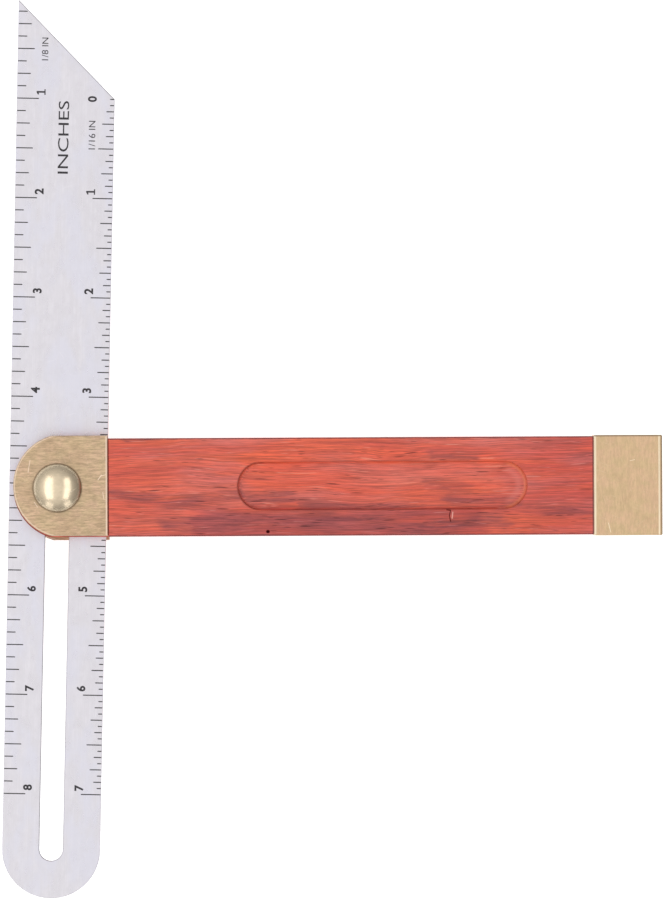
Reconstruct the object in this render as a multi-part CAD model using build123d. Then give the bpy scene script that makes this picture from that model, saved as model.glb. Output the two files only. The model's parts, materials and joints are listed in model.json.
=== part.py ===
"""Sliding T-bevel: a graduated steel blade that swings and slides in the sawn kerf of a hardwood stock.

Millimetres. The parts are drawn about the pivot: X runs along the stock from its rounded head to its butt,
Y towards the blade's pointed tip, Z up through the domed bolt head, and Z = 0 is the middle of the kerf.
Every part is then moved so that the origin is the bottom centre of the whole tool's box.
"""

from build123d import *

import math
import os

# Stock: one piece of hardwood with a kerf sawn in from its head
STOCK_WIDTH = 25.1
STOCK_THICKNESS = 18.5
STOCK_EDGE_ROUND = 0.5
HEAD_ARC_RADIUS = 13.25
HEAD_ARC_X = 2.05
KERF_WIDTH = 1.6
KERF_END_X = 131.0

# Brass sheet of the bolsters and the butt cap, let into the wood and standing a little proud of it
BRASS_SHEET = 1.2
BRASS_PROUD = 0.25
BRASS_CHAMFER = 0.25
BOLSTER_WIDTH = 25.6
BOLSTER_END_X = 12.9
BOLSTER_END_GAP = 0.25
FRONT_BOLSTER_SHIFT = 0.5
BACK_BOLSTER_SHIFT = -0.7

CAP_START_X = 136.7
CAP_END_X = 154.2
CAP_WIDTH = 25.6
CAP_ROUND = 0.4
CAP_RIM_CHAMFER = 0.2

# Finger groove, milled the same in both faces
GROOVE_START_X = 45.9
GROOVE_END_X = 119.9
GROOVE_WIDTH = 12.4
GROOVE_DEPTH = 1.5
GROOVE_COVE = 1.3
GROOVE_SHIFT_Y = 0.2

# Blade, drawn along its own axis: V from the pivot to the tip, U across it
BLADE_WIDTH = 25.05
BLADE_THICKNESS = 1.2
BLADE_TIP_V = 124.6
BLADE_TAIL_V = -105.0
BLADE_CHAMFER = 0.12
SLOT_WIDTH = 6.05
SLOT_LENGTH = 102.0
SLOT_TAIL_V = -95.4
REST_ANGLE = 88.6

# Pivot bolt: domed head, journal in the front cheek, two flats in the blade's slot, then an M6 thread
HEAD_RADIUS = 6.2
HEAD_HEIGHT = 3.4
HEAD_RIM = 0.5
JOURNAL_RADIUS = 4.0
FLATS_WIDTH = 5.9
FLATS_TOP_Z = 1.0
FLATS_BOTTOM_Z = -0.75
THREAD_RADIUS = 3.0
BOLT_END_CHAMFER = 0.6
RUNNING_GAP = 0.05
THREAD_HOLE_GAP = 0.08

# Washer and wing nut on the back
WASHER_RADIUS = 6.5
WASHER_THICKNESS = 1.0
WASHER_CHAMFER = 0.12
HUB_BASE_RADIUS = 5.6
HUB_TOP_RADIUS = 4.6
HUB_HEIGHT = 6.0
WING_THICKNESS = 2.2
WING_TIP_RADIUS = 3.1
WING_TIP_REACH = 10.2
WING_TIP_HEIGHT = 6.6
WING_ROOT_RADIUS = 2.0
WING_ROOT_REACH = 3.4
WING_ROOT_HEIGHT = 2.4
WING_ANGLE = 90.0
BOLT_PAST_HUB = 1.6

# Blind brass pins behind the bolsters, and the screws in the butt
PIN_RADIUS = 0.8
PIN_LENGTH = 6.0
PIN_COVER = 0.4
PIN_PLACES = ((-5.2, 6.9), (-5.2, -6.9), (10.4, 9.6), (10.4, -9.6))
SCREW_SPACING = 12.0
SCREW_HEAD_RADIUS = 2.4
SCREW_HEAD_DEPTH = 1.5
SCREW_CORE_RADIUS = 1.3
SCREW_POINT_CHAMFER = 0.9
SCREW_LENGTH = 12.0
SCREW_SLOT_WIDTH = 0.6
SCREW_SLOT_DEPTH = 0.7
SCREW_TURNS = (20, 75)

# How far a cutter or a joined block runs past the face that it meets
MARGIN = 1.0

# Worked out from the sizes above
NOSE_X = HEAD_ARC_X - HEAD_ARC_RADIUS
WOOD_FACE_Z = STOCK_THICKNESS / 2
BRASS_FACE_Z = WOOD_FACE_Z + BRASS_PROUD
REBATE_Z = BRASS_FACE_Z - BRASS_SHEET
SLOT_RADIUS = SLOT_WIDTH / 2
SLOT_TAIL_CENTRE_V = SLOT_TAIL_V + SLOT_RADIUS
SLOT_TIP_CENTRE_V = SLOT_TAIL_V + SLOT_LENGTH - SLOT_RADIUS
WASHER_TOP_Z = -BRASS_FACE_Z
NUT_TOP_Z = WASHER_TOP_Z - WASHER_THICKNESS
BOLT_END_Z = NUT_TOP_Z - HUB_HEIGHT - BOLT_PAST_HUB


def slab(low, high):
    """A box given by two opposite corners."""
    size = [b - a for a, b in zip(low, high)]
    centre = [(a + b) / 2 for a, b in zip(low, high)]
    return Pos(*centre) * Box(*size)


def rod(x, y, bottom, top, radius):
    """An upright cylinder between two heights."""
    return Pos(x, y, (bottom + top) / 2) * Cylinder(radius, top - bottom)


def head_outline(width, end_x):
    """The plan of the stock's head: straight sides to end_x and a shallow arc round the nose."""
    half = width / 2
    corner_x = HEAD_ARC_X - math.sqrt(HEAD_ARC_RADIUS**2 - half**2)
    sides = Polyline((corner_x, -half), (end_x, -half), (end_x, half), (corner_x, half))
    nose = ThreePointArc((corner_x, half), (NOSE_X, 0), (corner_x, -half))
    return make_face([*sides.edges(), nose.edge()])


def bolster_shift(side):
    """How far the bolster on a face (side 1 front, -1 back) sits off the stock's centre line."""
    return FRONT_BOLSTER_SHIFT if side > 0 else BACK_BOLSTER_SHIFT


def make_groove_cutter():
    """A stadium with a coved floor edge, standing in the front face of the stock."""
    length = GROOVE_END_X - GROOVE_START_X
    outline = SlotOverall(length, GROOVE_WIDTH)
    floor_z = WOOD_FACE_Z - GROOVE_DEPTH
    body = extrude(outline, GROOVE_DEPTH + MARGIN)
    body = fillet(body.edges().group_by(Axis.Z)[0], GROOVE_COVE)
    return Pos((GROOVE_START_X + GROOVE_END_X) / 2, GROOVE_SHIFT_Y, floor_z) * body


def make_stock():
    """The hardwood stock: rebated for the brass at both ends, kerfed, bored and grooved."""
    blank = extrude(head_outline(STOCK_WIDTH, CAP_START_X), WOOD_FACE_Z, both=True)
    long_edges = blank.edges().filter_by(Axis.X)
    blank = fillet(long_edges, STOCK_EDGE_ROUND)
    tenon_half = CAP_WIDTH / 2 - BRASS_SHEET
    tenon = slab(
        (CAP_START_X - MARGIN, -tenon_half, -REBATE_Z),
        (CAP_END_X - BRASS_SHEET, tenon_half, REBATE_Z),
    )
    stock = blank + tenon
    past_nose = NOSE_X - MARGIN
    past_edge = STOCK_WIDTH / 2 + MARGIN
    past_face = WOOD_FACE_Z + MARGIN
    for side in (1, -1):
        low, high = sorted((side * REBATE_Z, side * past_face))
        stock -= slab((past_nose, -past_edge, low), (BOLSTER_END_X + BOLSTER_END_GAP, past_edge, high))
    stock -= slab((past_nose, -past_edge, -KERF_WIDTH / 2), (KERF_END_X, past_edge, KERF_WIDTH / 2))
    groove = make_groove_cutter()
    stock -= groove
    stock -= mirror(groove, Plane.XY)
    stock -= rod(0, 0, 0, past_face, JOURNAL_RADIUS + RUNNING_GAP)
    stock -= rod(0, 0, -past_face, 0, THREAD_RADIUS + THREAD_HOLE_GAP)
    for pin in bolster_pins().values():
        stock -= pin
    for screw in cap_screws().values():
        stock -= screw
    return stock


def make_bolster(side):
    """A brass plate over one face of the head, its outer edge chamfered."""
    outline = head_outline(BOLSTER_WIDTH, BOLSTER_END_X)
    plate = extrude(outline, BRASS_SHEET)
    plate = chamfer(plate.edges().group_by(Axis.Z)[-1], BRASS_CHAMFER)
    plate = Pos(0, bolster_shift(side), REBATE_Z) * plate
    if side < 0:
        plate = mirror(plate, Plane.XY)
    hole = JOURNAL_RADIUS + RUNNING_GAP if side > 0 else THREAD_RADIUS + THREAD_HOLE_GAP
    plate -= rod(0, 0, -BRASS_FACE_Z - MARGIN, BRASS_FACE_Z + MARGIN, hole)
    for name, pin in bolster_pins().items():
        if name.startswith("front" if side > 0 else "back"):
            plate -= pin
    return plate


def bolster_pins():
    """Eight plain pins, four behind each bolster, blind in the brass and driven into the wood."""
    pins = {}
    for label, side in (("front", 1), ("back", -1)):
        for number, (x, y) in enumerate(PIN_PLACES, start=1):
            outer_z = BRASS_FACE_Z - PIN_COVER
            low, high = sorted((side * outer_z, side * (outer_z - PIN_LENGTH)))
            place_y = y + bolster_shift(side)
            pins[f"{label}_bolster_pin_{number}"] = rod(x, place_y, low, high, PIN_RADIUS)
    return pins


def make_cap():
    """The butt cap: a five-sided brass cup pushed over the stock's tenon."""
    half = CAP_WIDTH / 2
    outside = slab((CAP_START_X, -half, -BRASS_FACE_Z), (CAP_END_X, half, BRASS_FACE_Z))
    rounded = outside.edges().filter_by(Axis.X) + outside.edges().group_by(Axis.X)[-1]
    cap = fillet(rounded, CAP_ROUND)
    cap = chamfer(cap.edges().group_by(Axis.X)[0], CAP_RIM_CHAMFER)
    inner_half = half - BRASS_SHEET
    cap -= slab(
        (CAP_START_X - MARGIN, -inner_half, -REBATE_Z),
        (CAP_END_X - BRASS_SHEET, inner_half, REBATE_Z),
    )
    for screw in cap_screws().values():
        cap -= screw
    return cap


def make_screw_body():
    """A countersunk wood screw without its slot, pointing along -X from the butt face."""
    countersink = Cone(
        SCREW_HEAD_RADIUS, SCREW_CORE_RADIUS, SCREW_HEAD_DEPTH, align=(Align.CENTER, Align.CENTER, Align.MIN)
    )
    core_length = SCREW_LENGTH - SCREW_HEAD_DEPTH
    core = Cylinder(SCREW_CORE_RADIUS, core_length, align=(Align.CENTER, Align.CENTER, Align.MIN))
    core = chamfer(core.edges().group_by(Axis.Z)[-1], SCREW_POINT_CHAMFER)
    screw = countersink + Pos(0, 0, SCREW_HEAD_DEPTH) * core
    return Rot(0, -90, 0) * screw


def cap_screws():
    """The two screws in the butt, as blanks: their slots are cut when they are written."""
    return {
        f"cap_screw_{number}": Pos(CAP_END_X, side * SCREW_SPACING / 2, 0) * make_screw_body()
        for number, side in ((1, 1), (2, -1))
    }


def slot_screw(screw, turn):
    """Cuts the driver slot across a screw's head, turned about X."""
    centre = screw.bounding_box().center()
    cutter = Box(2 * SCREW_SLOT_DEPTH, 2 * (SCREW_HEAD_RADIUS + MARGIN), SCREW_SLOT_WIDTH)
    return screw - Pos(CAP_END_X, centre.Y, centre.Z) * Rot(turn, 0, 0) * cutter


def make_blade():
    """The blade: a 45 degree point, a round tail and a long slot, turned to its rest angle."""
    half = BLADE_WIDTH / 2
    arc_v = BLADE_TAIL_V + half
    sides = Polyline(
        (half, arc_v), (half, BLADE_TIP_V - BLADE_WIDTH), (-half, BLADE_TIP_V), (-half, arc_v)
    )
    tail = ThreePointArc((-half, arc_v), (0, BLADE_TAIL_V), (half, arc_v))
    outline = make_face([*sides.edges(), tail.edge()])
    slot_centre = (SLOT_TAIL_CENTRE_V + SLOT_TIP_CENTRE_V) / 2
    outline -= Pos(0, slot_centre) * Rot(0, 0, 90) * SlotOverall(SLOT_LENGTH, SLOT_WIDTH)
    blade = extrude(outline, BLADE_THICKNESS / 2, both=True)
    levels = blade.edges().group_by(Axis.Z)
    blade = chamfer(levels[0] + levels[-1], BLADE_CHAMFER)
    return Rot(0, 0, REST_ANGLE - 90) * blade


def make_bolt():
    """The pivot bolt: dome, journal, flats square to the blade, and the threaded shank."""
    rim_z = BRASS_FACE_Z + HEAD_RIM
    dome_rise = HEAD_HEIGHT - HEAD_RIM
    dome_radius = (HEAD_RADIUS**2 + dome_rise**2) / (2 * dome_rise)
    mid_angle = math.asin(HEAD_RADIUS / dome_radius) / 2
    top_z = BRASS_FACE_Z + HEAD_HEIGHT
    mid = (
        dome_radius * math.sin(mid_angle),
        top_z - dome_radius * (1 - math.cos(mid_angle)),
    )
    outline = Polyline((0, top_z), (0, BRASS_FACE_Z), (HEAD_RADIUS, BRASS_FACE_Z), (HEAD_RADIUS, rim_z))
    dome = ThreePointArc((HEAD_RADIUS, rim_z), mid, (0, top_z))
    profile = Plane.XZ * make_face([*outline.edges(), dome.edge()])
    head = revolve(profile, Axis.Z)
    journal = rod(0, 0, FLATS_BOTTOM_Z, BRASS_FACE_Z, JOURNAL_RADIUS)
    turned = Rot(0, 0, REST_ANGLE - 90)
    past_journal = JOURNAL_RADIUS + MARGIN
    for side in (1, -1):
        near, far = sorted((side * FLATS_WIDTH / 2, side * past_journal))
        low_corner = (near, -past_journal, FLATS_BOTTOM_Z - MARGIN)
        journal -= turned * slab(low_corner, (far, past_journal, FLATS_TOP_Z))
    shank = rod(0, 0, BOLT_END_Z, FLATS_BOTTOM_Z, THREAD_RADIUS)
    shank = chamfer(shank.edges().group_by(Axis.Z)[0], BOLT_END_CHAMFER)
    return head + journal + shank


def make_washer():
    """The flat washer under the wing nut."""
    low = WASHER_TOP_Z - WASHER_THICKNESS
    ring = rod(0, 0, low, WASHER_TOP_Z, WASHER_RADIUS)
    ring = chamfer(ring.edges(), WASHER_CHAMFER)
    return ring - rod(0, 0, low - MARGIN, WASHER_TOP_Z + MARGIN, THREAD_RADIUS + THREAD_HOLE_GAP)


def make_wing_nut():
    """A cast wing nut: a tapered hub and two ears, drawn upwards and then turned over."""
    bottom = (Align.CENTER, Align.CENTER, Align.MIN)
    nut = Cone(HUB_BASE_RADIUS, HUB_TOP_RADIUS, HUB_HEIGHT, align=bottom)
    for side in (1, -1):
        tip = Pos(side * WING_TIP_REACH, WING_TIP_HEIGHT) * Circle(WING_TIP_RADIUS)
        root = Pos(side * WING_ROOT_REACH, WING_ROOT_HEIGHT) * Circle(WING_ROOT_RADIUS)
        ear = Plane.XZ * make_hull([*tip.edges(), *root.edges()])
        nut += extrude(ear, WING_THICKNESS / 2, both=True)
    nut -= rod(0, 0, -MARGIN, HUB_HEIGHT + MARGIN, THREAD_RADIUS + RUNNING_GAP)
    return Pos(0, 0, NUT_TOP_Z) * Rot(180, 0, 0) * Rot(0, 0, -WING_ANGLE) * nut


def make_parts():
    """Every node by name, drawn about the pivot."""
    parts = {
        "wood_stock": make_stock(),
        "front_bolster": make_bolster(1),
        "back_bolster": make_bolster(-1),
        "butt_cap": make_cap(),
        "blade": make_blade(),
        "pivot_bolt": make_bolt(),
        "clamp_washer": make_washer(),
        "wing_nut": make_wing_nut(),
    }
    parts.update(bolster_pins())
    for (name, screw), turn in zip(cap_screws().items(), SCREW_TURNS):
        parts[name] = slot_screw(screw, turn)
    return parts


def pivot_offset(parts):
    """Where the pivot ends up once the whole tool stands on the bottom centre of its box."""
    boxes = [shape.bounding_box() for shape in parts.values()]
    low_x, high_x = min(box.min.X for box in boxes), max(box.max.X for box in boxes)
    low_y, high_y = min(box.min.Y for box in boxes), max(box.max.Y for box in boxes)
    low_z = min(box.min.Z for box in boxes)
    return Vector(round(-(low_x + high_x) / 2, 2), round(-(low_y + high_y) / 2, 2), round(-low_z, 2))


PARTS = make_parts()
PIVOT = pivot_offset(PARTS)

os.makedirs("parts", exist_ok=True)
for node, shape in PARTS.items():
    export_step(Pos(*PIVOT) * shape, f"parts/{node}.step")
print("pivot at", tuple(PIVOT), "in the tool's frame")
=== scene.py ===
"""Sliding T-bevel: finishes, graduations, pivot bolt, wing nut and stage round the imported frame.

Lengths in this file are millimetres measured from the pivot until MM turns them into the scene's metres.
"""

import json
import math

import bmesh
import bpy
import numpy as np
from mathutils import Matrix, Vector


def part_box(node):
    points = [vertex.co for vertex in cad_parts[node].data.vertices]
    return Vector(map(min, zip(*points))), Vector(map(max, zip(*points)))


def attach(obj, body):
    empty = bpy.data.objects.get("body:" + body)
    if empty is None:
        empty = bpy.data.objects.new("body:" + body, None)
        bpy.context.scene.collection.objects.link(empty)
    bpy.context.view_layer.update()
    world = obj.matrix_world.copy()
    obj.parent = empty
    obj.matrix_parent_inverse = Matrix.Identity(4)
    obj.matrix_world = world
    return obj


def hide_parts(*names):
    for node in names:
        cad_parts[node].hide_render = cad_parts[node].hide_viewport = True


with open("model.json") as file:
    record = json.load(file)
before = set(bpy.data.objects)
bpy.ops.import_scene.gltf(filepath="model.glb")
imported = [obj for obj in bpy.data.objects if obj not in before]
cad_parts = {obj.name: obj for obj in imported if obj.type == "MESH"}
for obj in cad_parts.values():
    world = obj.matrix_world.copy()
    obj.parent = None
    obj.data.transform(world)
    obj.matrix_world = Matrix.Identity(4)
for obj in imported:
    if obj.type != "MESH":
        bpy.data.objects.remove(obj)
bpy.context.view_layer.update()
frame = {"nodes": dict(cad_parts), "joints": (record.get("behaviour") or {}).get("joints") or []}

bl_info = {
    "name": "Sliding T-bevel",
    "version": (1, 0, 0),
    "blender": (4, 5, 0),
    "location": "3D View > Sidebar > T-Bevel",
    "description": "Builds the finishes and the fine pieces of a sliding T-bevel on its packed frame",
    "category": "Object",
}

JOINTS = {joint["name"]: joint for joint in frame["joints"]}
MM = 0.001

# The pivot and the blade's own axes, from the joints
PIVOT = np.array(JOINTS["blade_turn"]["pos_m"])
ALONG = np.array(JOINTS["blade_slide"]["axis"])
ACROSS = np.array([ALONG[1], -ALONG[0], 0.0])
UPWARD = np.array([0.0, 0.0, 1.0])
BLADE_TURN = math.atan2(ALONG[0], ALONG[1])


def box_mm(node):
    """A node's lowest and highest corners in millimetres from the pivot."""
    low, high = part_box(node)
    return (np.array(low) - PIVOT) / MM, (np.array(high) - PIVOT) / MM


BLADE_FACE_Z = box_mm("blade")[1][2]
BRASS_FACE_Z = box_mm("front_bolster")[1][2]
WOOD_LOW, WOOD_HIGH = box_mm("wood_stock")
CAP_LOW, CAP_HIGH = box_mm("butt_cap")
BOLT_LOW, BOLT_HIGH = box_mm("pivot_bolt")
NUT_HIGH = box_mm("wing_nut")[1]
BOLSTER_LOW, BOLSTER_HIGH = box_mm("front_bolster")
BACK_LOW, BACK_HIGH = box_mm("back_bolster")

# A length beyond the whole tool, for the open sides of a box
FAR = 500.0

# The blade's outline and slot, and its scales: eighths from the tip on one edge, sixteenths from the far
# corner on the other
INCH = 25.4
BLADE_HALF = 12.525
EDGE_BEVEL = 0.14
BLADE_TIP = 124.6
BLADE_TAIL = -105.0
SLOT_TAIL = -95.4
SLOT_TIP = 6.6
SLOT_WIDTH = 6.05
LEFT_ZERO = 124.82
RIGHT_ZERO = 99.52
EIGHTH_LENGTHS = (2.4, 3.5, 4.4, 5.7)
SIXTEENTH_LENGTHS = (1.2, 2.1, 3.1, 4.0, 5.2)
LEFT_DIGIT_INSET = 6.2
RIGHT_DIGIT_INSET = 5.7
DIGIT_LEAD = 1.65
MARK_HEIGHTS = (-0.02, 0.012)
BAR_END_POINTS = 5
FIGURE_ONE = (
    (0.04, 0.0), (0.66, 0.0), (0.66, 0.13), (0.46, 0.13), (0.46, 1.0), (0.31, 1.0),
    (0.05, 0.84), (0.10, 0.70), (0.27, 0.79), (0.27, 0.13), (0.04, 0.13),
)
DIGIT_WEIGHT = 0.034
LEGEND_WEIGHT = 0.0
WELD_MM = 0.0002

# The unit legends: words, place across and along the blade, height and length
LEGENDS = (
    ("INCHES", -0.4, 89.6, 2.7, 18.6),
    ("1/8 IN", -5.5, 112.1, 1.65, 5.8),
    ("1/16 IN", 6.9, 90.3, 1.7, 7.3),
)

# Takes the height out of a vector, so that a mark reaches through the thickness
FLATTEN = (1.0, 1.0, 0.0)

# How the steel's tone shifts where it looks cold
STEEL_COLD = (0.965, 0.985, 1.04)

# The stock: its finger groove and its rounded nose
GROOVE_START = 45.9
GROOVE_END = 119.9
GROOVE_HALF = 6.2
GROOVE_ACROSS = 0.2
NOSE_CENTRE = 2.05
NOSE_RADIUS = 13.25

# The wood's placed marks, each (start, end, width) on its face: dark streaks, a dusky and a glowing band,
# a nick with painted shade in it and a painted highlight on its raised lip, a pit painted black as shade, and
# painted shade in the joint with the butt cap. Heights are multiplied by the streaks' flatness, so that they
# reach through the thickness, and noise bends them by their wander. The wood deepens from the first to the
# second place of the butt's fade.
STREAK_FLATNESS = 0.2
STREAK_WANDER = (14.0, 4.5, 2.0)
SMOKE_STREAKS = (
    ((11.0, -0.6), (27.5, -3.8), 2.5),
    ((27.5, -4.1), (46.0, -1.9), 2.5),
    ((28.0, -9.8), (60.0, -8.8), 4.4),
    ((55.0, -8.6), (98.0, -9.4), 4.8),
    ((92.0, -10.4), (113.0, -9.0), 3.6),
    ((49.5, -3.4), (60.0, -2.8), 2.8),
    ((62.0, -5.2), (98.0, -5.4), 1.8),
    ((95.0, 0.6), (104.0, -0.6), 3.4),
    ((100.0, -3.4), (117.0, -4.4), 2.8),
    ((95.0, 8.2), (106.0, 7.7), 2.6),
    ((113.0, -6.0), (138.0, -6.8), 2.6),
    ((18.5, 12.6), (27.0, 12.5), 1.6),
)
DUSK_BAND = ((38.0, -9.6), (106.0, -9.6), 6.2)
GLOW_BAND = ((52.0, 4.0), (108.0, 4.0), 8.0)
BUTT_FADE = (108.0, 130.0)
NICK = (
    ((99.2, -6.05), (100.2, -6.2), 0.28),
    ((100.2, -6.2), (99.9, -7.6), 0.26),
    ((99.9, -7.6), (100.2, -9.0), 0.24),
)
NICK_LIP = ((100.75, -6.7), (100.6, -8.2), 0.26)
PIT = ((53.6, -11.4), (53.7, -11.4), 0.66)
CAP_JOINT_SHADE = ((136.6, -12.5), (136.6, 12.5), 0.36)

# Colours in the wood, and tints that multiply its own
BLOOM = (0.62, 0.20, 0.19)
PALE_FLECK = (1.0, 0.62, 0.55)
DUSK_TINT = (0.76, 0.62, 0.74)
GLOW_TINT = (1.10, 1.02, 0.86)
BUTT_TINT = (0.90, 0.76, 0.82)
# Painted shade in the finger groove
GROOVE_SHADE_COLOUR = (0.27, 0.040, 0.021)
# Painted highlights on the groove's far end: a broad sheen and a brighter band at its wall
SHEEN = (0.72, 0.23, 0.19)
GROOVE_END_HIGHLIGHT = (0.80, 0.20, 0.085)
# Black painted as shade in the nick and the pit
PIT_BLACK = (0.035, 0.002, 0.003)
# Painted highlight on the nick's raised lip
NICK_LIP_HIGHLIGHT = (0.95, 0.50, 0.42)

# The brass: how far its brushing is drawn out, its tints (one for bare scratch lines and painted highlights),
# and how dark it is under painted shade and dirt
BRUSH_LENGTH = 0.35
BRASS_WARM = (1.07, 0.99, 1.02)
BRASS_OLIVE = (0.93, 0.97, 0.86)
BRASS_DULL = (0.83, 0.82, 0.78)
BRASS_BARE_AND_HIGHLIGHT = (1.6, 1.75, 2.1)
TURNED_DULL = (0.80, 0.76, 0.70)
SHADE_AND_DIRT_TONE = 0.22

# The brass's placed marks, each (start, end, width): scratch lines and painted highlights along edges, then
# painted shade along edges and dirt
FRONT_SCRATCHES_AND_HIGHLIGHT = (
    ((10.4, 2.0), (11.3, 3.2), 0.16),
    ((11.2, 3.0), (12.4, 3.3), 0.13),
    ((-7.4, 4.0), (-6.9, 7.0), 0.12),
    ((-5.9, -3.6), (-5.0, -4.9), 0.12),
    ((11.6, -1.2), (11.9, -3.0), 0.10),
    # Painted highlight along the plate's right edge
    ((12.66, BOLSTER_LOW[1]), (12.66, BOLSTER_HIGH[1]), 0.5),
)
# Painted shade along the plate's upper edge
FRONT_EDGE_SHADE = (((BOLSTER_LOW[0], 14.4), (BOLSTER_HIGH[0], 14.4), 1.35),)
BACK_SCRATCHES = (((-6.0, 8.0), (2.0, 8.9), 0.12), ((9.0, -9.0), (11.0, -6.0), 0.12))
BACK_DIRT = (((7.4, 2.0), (8.2, -3.0), 0.3),)
CAP_SCRATCHES_AND_HIGHLIGHTS = (
    ((140.4, -9.6), (141.0, -12.0), 0.12),
    ((146.0, 6.2), (147.2, 6.5), 0.10),
    # These two are painted highlights along the cap's open edge and along its end's bend
    ((CAP_LOW[0] + 0.3, CAP_LOW[1]), (CAP_LOW[0] + 0.3, CAP_HIGH[1]), 0.6),
    ((CAP_HIGH[0] - 0.8, CAP_LOW[1]), (CAP_HIGH[0] - 0.8, CAP_HIGH[1]), 0.3),
)
CAP_EDGE_SHADE = (
    # Painted shade along the cap's end and along its upper edge
    ((CAP_HIGH[0], CAP_LOW[1]), (CAP_HIGH[0], CAP_HIGH[1]), 0.7),
    ((CAP_LOW[0], CAP_HIGH[1]), (CAP_HIGH[0], CAP_HIGH[1]), 0.6),
)
SCREW_DIRT_WIDTH = 0.28
# Painted shade and dirt at the lower left of the bolt's head
HEAD_SPOTS = (((-5.5, -2.0), (-4.7, -3.3), 0.5), ((-4.3, -4.0), (-3.9, -4.4), 0.45))

# The pivot bolt
HEAD_RIM = 0.5
RIM_ROUND = 0.09
JOURNAL_RADIUS = 4.0
SHANK_RADIUS = 3.0
FLAT_HALF = 2.95
FLATS_TOP = 1.0
SHANK_TOP = -0.75
THREAD_TOP = -6.0
THREAD_PITCH = 1.0
THREAD_DEPTH = 0.55
THREAD_STEEPNESS = 2.6
THREAD_LIFT = 1.15
END_CHAMFER = 0.6
END_RADIUS = 0.9
DOME_ROWS = 64
SHOULDER_ROWS = 9
JOURNAL_ROWS = 40
CHAMFER_ROWS = 5
ROWS_PER_PITCH = 16
BOLT_SEGMENTS = 96

# The wing nut, with heights from its seat on the washer
HUB_BASE = 5.6
HUB_TOP = 4.6
HUB_HEIGHT = 6.0
HOLE_RADIUS = 3.05
HUB_SEGMENTS = 96
WING_ROOT = (3.8, 2.5)
WING_TIP = (10.25, 6.65)
WING_ROOT_ROUND = 1.9
WING_TIP_ROUND = 3.0
WING_ROOT_DEPTH = 1.35
WING_TIP_DEPTH = 0.95
WING_SQUARENESS = 0.5
WING_SECTIONS = 60
WING_SEGMENTS = 40
NUT_VOXEL = 0.16
EASE_ROUNDS = 8

# The stage, and its soft boxes: name, place from the pivot and size in metres, and radiance
SOFT_BOXES = (
    ("left", (-0.50, 0.0, 0.80), (1.6, 0.50), 0.79),
    ("right", (0.62, -0.05, 0.80), (1.6, 0.42), 0.92),
    ("low_left", (-0.46, -0.95, 0.32), (0.40, 0.42), 0.66),
    ("low_right", (0.60, -0.95, 0.34), (0.42, 0.44), 0.80),
)
FLOOR_HALF = 4.0
FLOOR_LINES = 17
FLOOR_GLOW = 0.60
HORIZON_SHARE = 0.42
SKY_LEAN = 0.30
SKY_COLOUR = (1.0, 0.995, 0.985, 1.0)
WHITE = (1.0, 1.0, 1.0, 1.0)
SENSOR = 36.0
CAMERA_ROLL = math.radians(-0.28)
FRAME_HEIGHT = 230.15
FRAME_CENTRE = (70.02, 9.65)


# ---------------------------------------------------------------- settings


class BladeSettings(bpy.types.PropertyGroup):
    """The blade's steel and its engraved scales."""

    steel: bpy.props.FloatVectorProperty(
        name="Steel", description="Colour of the ground steel", subtype="COLOR", size=3,
        default=(0.83, 0.805, 0.86),
    )
    ink: bpy.props.FloatVectorProperty(
        name="Marks", description="Colour of the etched marks", subtype="COLOR", size=3,
        default=(0.022, 0.020, 0.024),
    )
    line_width: bpy.props.FloatProperty(
        name="Line width", description="Width of a graduation", default=0.27 * MM, unit="LENGTH",
    )
    digit_height: bpy.props.FloatProperty(
        name="Digit height", description="Height of a numeral", default=2.3 * MM, unit="LENGTH",
    )


class StockSettings(bpy.types.PropertyGroup):
    """The hardwood of the stock."""

    heart: bpy.props.FloatVectorProperty(
        name="Heartwood", description="Main colour of the wood", subtype="COLOR", size=3,
        default=(0.625, 0.086, 0.053),
    )
    flame: bpy.props.FloatVectorProperty(
        name="Bright figure", description="Colour of the orange figure", subtype="COLOR", size=3,
        default=(0.745, 0.116, 0.052),
    )
    smoke: bpy.props.FloatVectorProperty(
        name="Dark figure", description="Colour of the purple brown streaks", subtype="COLOR", size=3,
        default=(0.300, 0.055, 0.056),
    )
    pore: bpy.props.FloatVectorProperty(
        name="Pores", description="Colour of the open pores", subtype="COLOR", size=3,
        default=(0.075, 0.013, 0.014),
    )


class BrassSettings(bpy.types.PropertyGroup):
    """The brass of the bolsters, cap, bolt and nut."""

    bolster: bpy.props.FloatVectorProperty(
        name="Bolsters", description="Colour of the bolsters' brass", subtype="COLOR", size=3,
        default=(0.618, 0.451, 0.298),
    )
    cap: bpy.props.FloatVectorProperty(
        name="Butt cap", description="Colour of the cap's brass", subtype="COLOR", size=3,
        default=(0.697, 0.496, 0.310),
    )
    bolt: bpy.props.FloatVectorProperty(
        name="Bolt", description="Colour of the polished bolt", subtype="COLOR", size=3,
        default=(0.87, 0.725, 0.525),
    )
    nut: bpy.props.FloatVectorProperty(
        name="Wing nut", description="Colour of the cast nut", subtype="COLOR", size=3,
        default=(0.70, 0.51, 0.27),
    )


class StageSettings(bpy.types.PropertyGroup):
    """The floor, the lights and the camera."""

    floor: bpy.props.FloatVectorProperty(
        name="Floor", description="Colour of the floor", subtype="COLOR", size=3,
        default=(0.82, 0.82, 0.82),
    )
    sky: bpy.props.FloatProperty(
        name="Sky", description="Brightness of the soft light all round", default=0.86, min=0.0,
    )
    lens: bpy.props.FloatProperty(
        name="Lens", description="Focal length of the camera in millimetres", default=400.0,
    )


# ---------------------------------------------------------------- node helpers


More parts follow.
